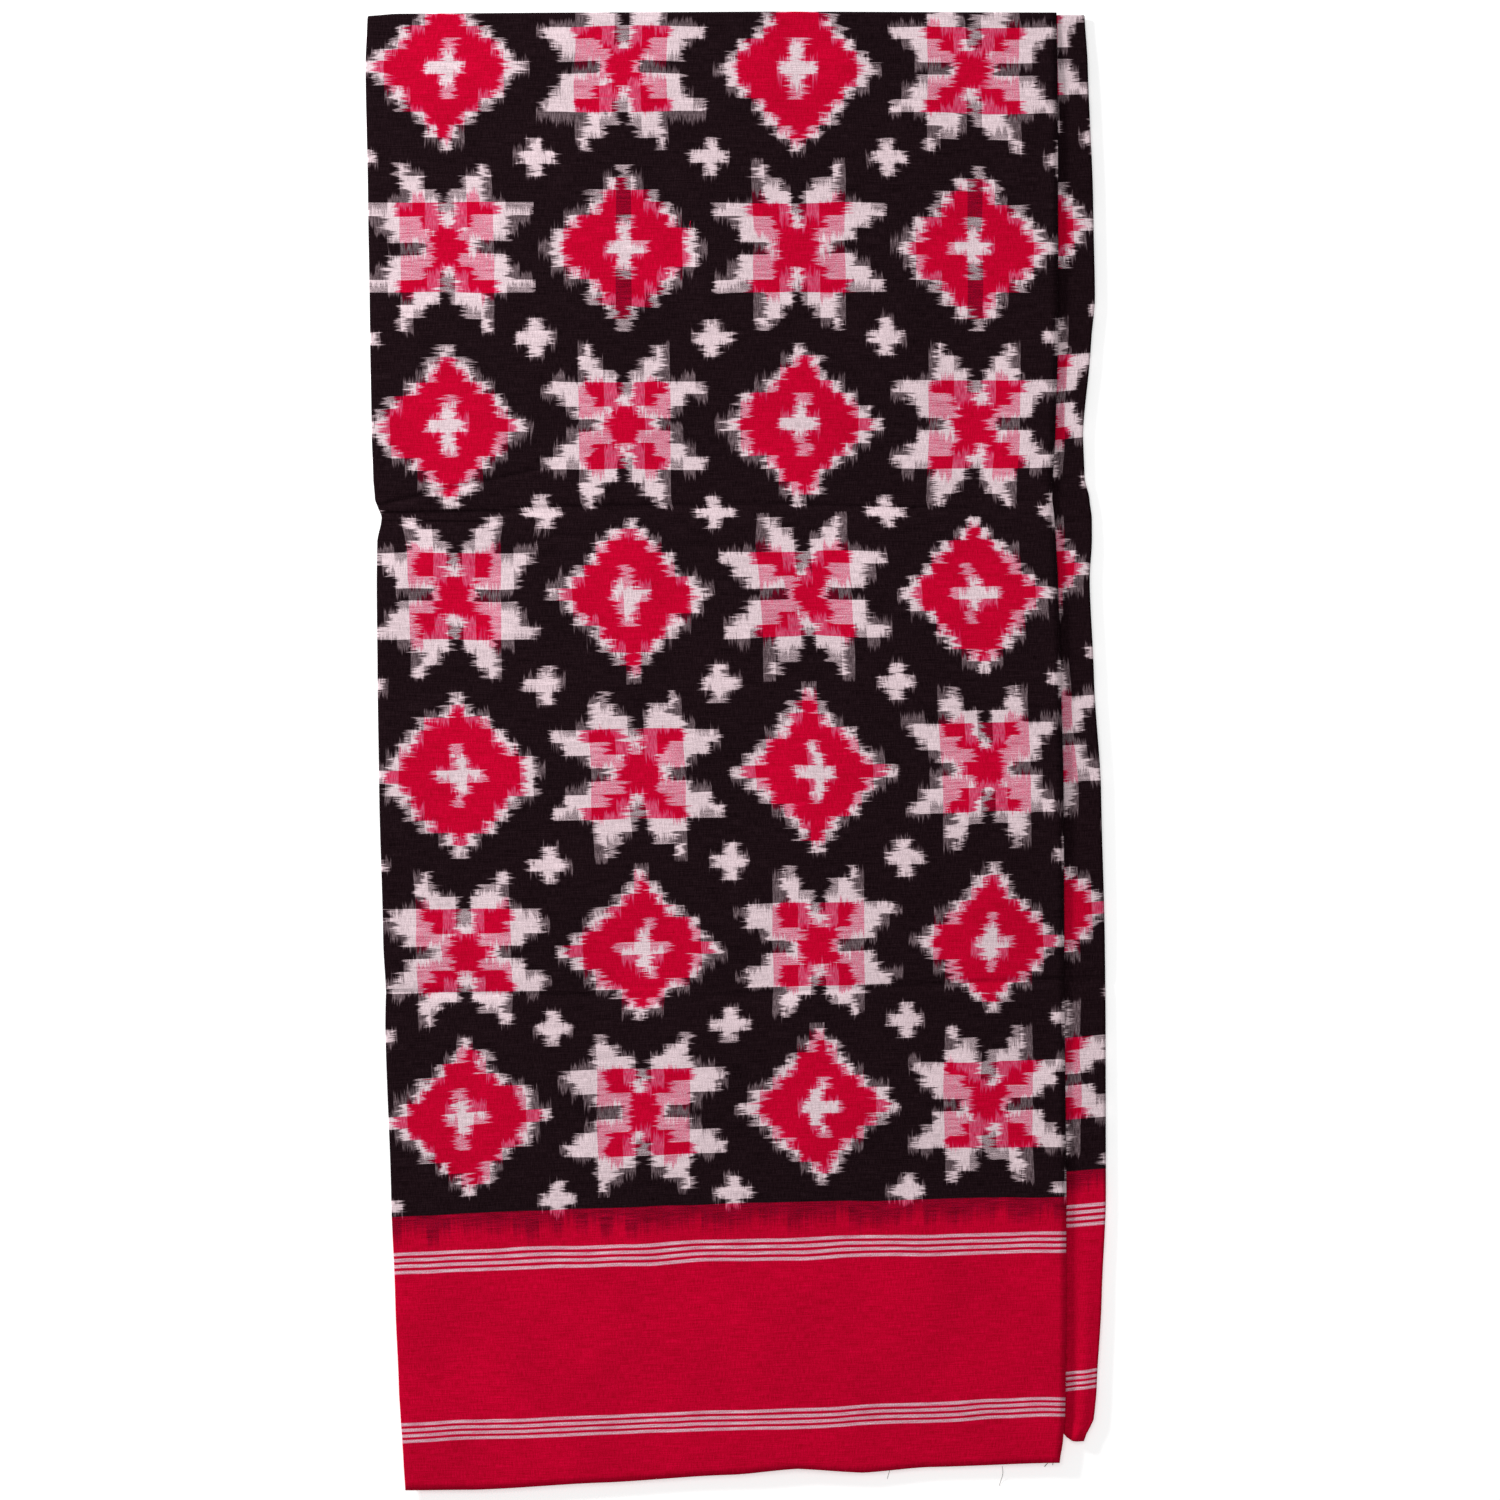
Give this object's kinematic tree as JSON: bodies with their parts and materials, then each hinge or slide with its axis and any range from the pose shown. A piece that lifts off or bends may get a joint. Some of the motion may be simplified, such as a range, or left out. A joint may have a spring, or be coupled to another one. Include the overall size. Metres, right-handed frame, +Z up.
{
  "type": "folded ikat woven cloth",
  "caption": "Length of handwoven double ikat cotton, folded along its length and doubled over at the top, lying flat, with the inner panel showing as a strip at one side.",
  "frame": {"origin": "on the surface that the cloth lies on, under the middle of its outline", "axes": "+Y along the cloth's length towards the top fold, +X towards the selvedges, +Z up from the surface"},
  "size_m": [0.5555, 1.1095, 0.0115],
  "materials": {
    "dyed_cotton": "matt handwoven cotton, resist dyed black, red and white"
  },
  "bodies": {
    "root": {"ikat_cloth": "dyed_cotton"}
  },
  "joints": []
}
